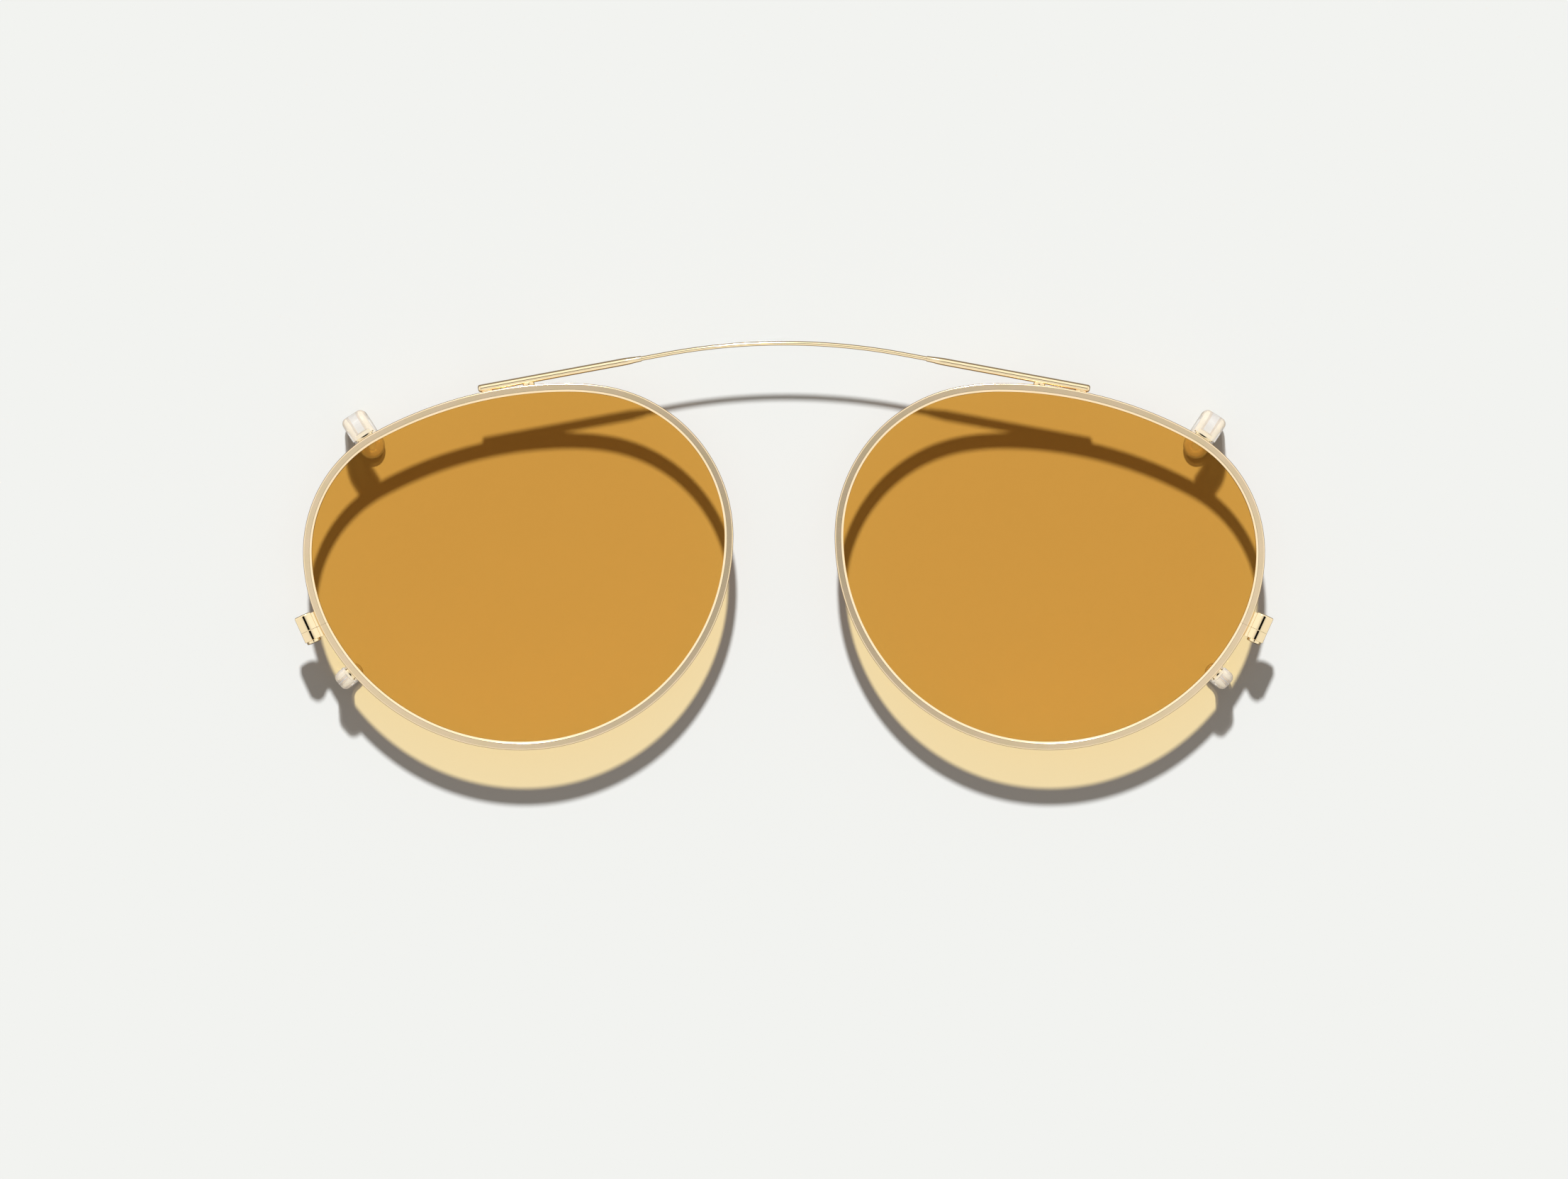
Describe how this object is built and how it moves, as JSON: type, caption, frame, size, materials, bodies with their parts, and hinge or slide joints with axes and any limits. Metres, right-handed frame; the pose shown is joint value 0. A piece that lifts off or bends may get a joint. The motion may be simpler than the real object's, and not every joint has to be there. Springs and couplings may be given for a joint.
{
  "type": "clip-on sun lenses",
  "caption": "Clip-on sun lenses: two amber lenses in gold wire rims on a telescoping spring bridge, with sleeved prongs that hook behind a spectacle frame.",
  "frame": {"origin": "middle of the footprint, on the surface that the prong hooks stand on", "axes": "+X across the face towards the wearer's right as drawn, +Y in the lens plane from the lenses towards the bridge, +Z out of the lens fronts"},
  "size_m": [0.1256, 0.0524, 0.0078],
  "materials": {
    "gold_metal": "polished pale gold plating",
    "gold_solder": "polished pale gold, smooth solder",
    "amber_lens": "clear amber sun lens",
    "clear_sleeve": "clear soft plastic sleeve",
    "spring_steel": "drawn steel wire"
  },
  "bodies": {
    "bridge": {"bridge_wire": "gold_metal", "left_wire_stop": "spring_steel", "left_return_spring": "spring_steel", "right_wire_stop": "spring_steel", "right_return_spring": "spring_steel"},
    "left_eyewire": {"left_rim": "gold_metal", "left_lens": "amber_lens", "left_closing_block_upper": "gold_metal", "left_closing_block_lower": "gold_metal", "left_closing_screw": "gold_metal", "left_bridge_tube": "gold_metal", "left_tube_plug": "gold_metal", "left_tube_solder": "gold_solder", "left_upper_prong_wire": "gold_metal", "left_upper_prong_foot": "gold_solder", "left_upper_prong_sleeve": "clear_sleeve", "left_lower_prong_wire": "gold_metal", "left_lower_prong_foot": "gold_solder", "left_lower_prong_sleeve": "clear_sleeve"},
    "right_eyewire": {"right_rim": "gold_metal", "right_lens": "amber_lens", "right_closing_block_upper": "gold_metal", "right_closing_block_lower": "gold_metal", "right_closing_screw": "gold_metal", "right_bridge_tube": "gold_metal", "right_tube_plug": "gold_metal", "right_tube_solder": "gold_solder", "right_upper_prong_wire": "gold_metal", "right_upper_prong_foot": "gold_solder", "right_upper_prong_sleeve": "clear_sleeve", "right_lower_prong_wire": "gold_metal", "right_lower_prong_foot": "gold_solder", "right_lower_prong_sleeve": "clear_sleeve"}
  },
  "joints": [
    {"name": "left_lens_slide", "type": "slide", "parent": "bridge", "child": "left_eyewire", "axis": [-0.9833, -0.1822, 0], "range_m": [0, 0.0045], "stiffness_N_per_m": 350, "springref_m": -0.003, "deforming": ["left_return_spring"]},
    {"name": "right_lens_slide", "type": "slide", "parent": "bridge", "child": "right_eyewire", "axis": [0.9833, -0.1822, 0], "range_m": [0, 0.0045], "stiffness_N_per_m": 350, "springref_m": -0.003, "deforming": ["right_return_spring"]}
  ]
}
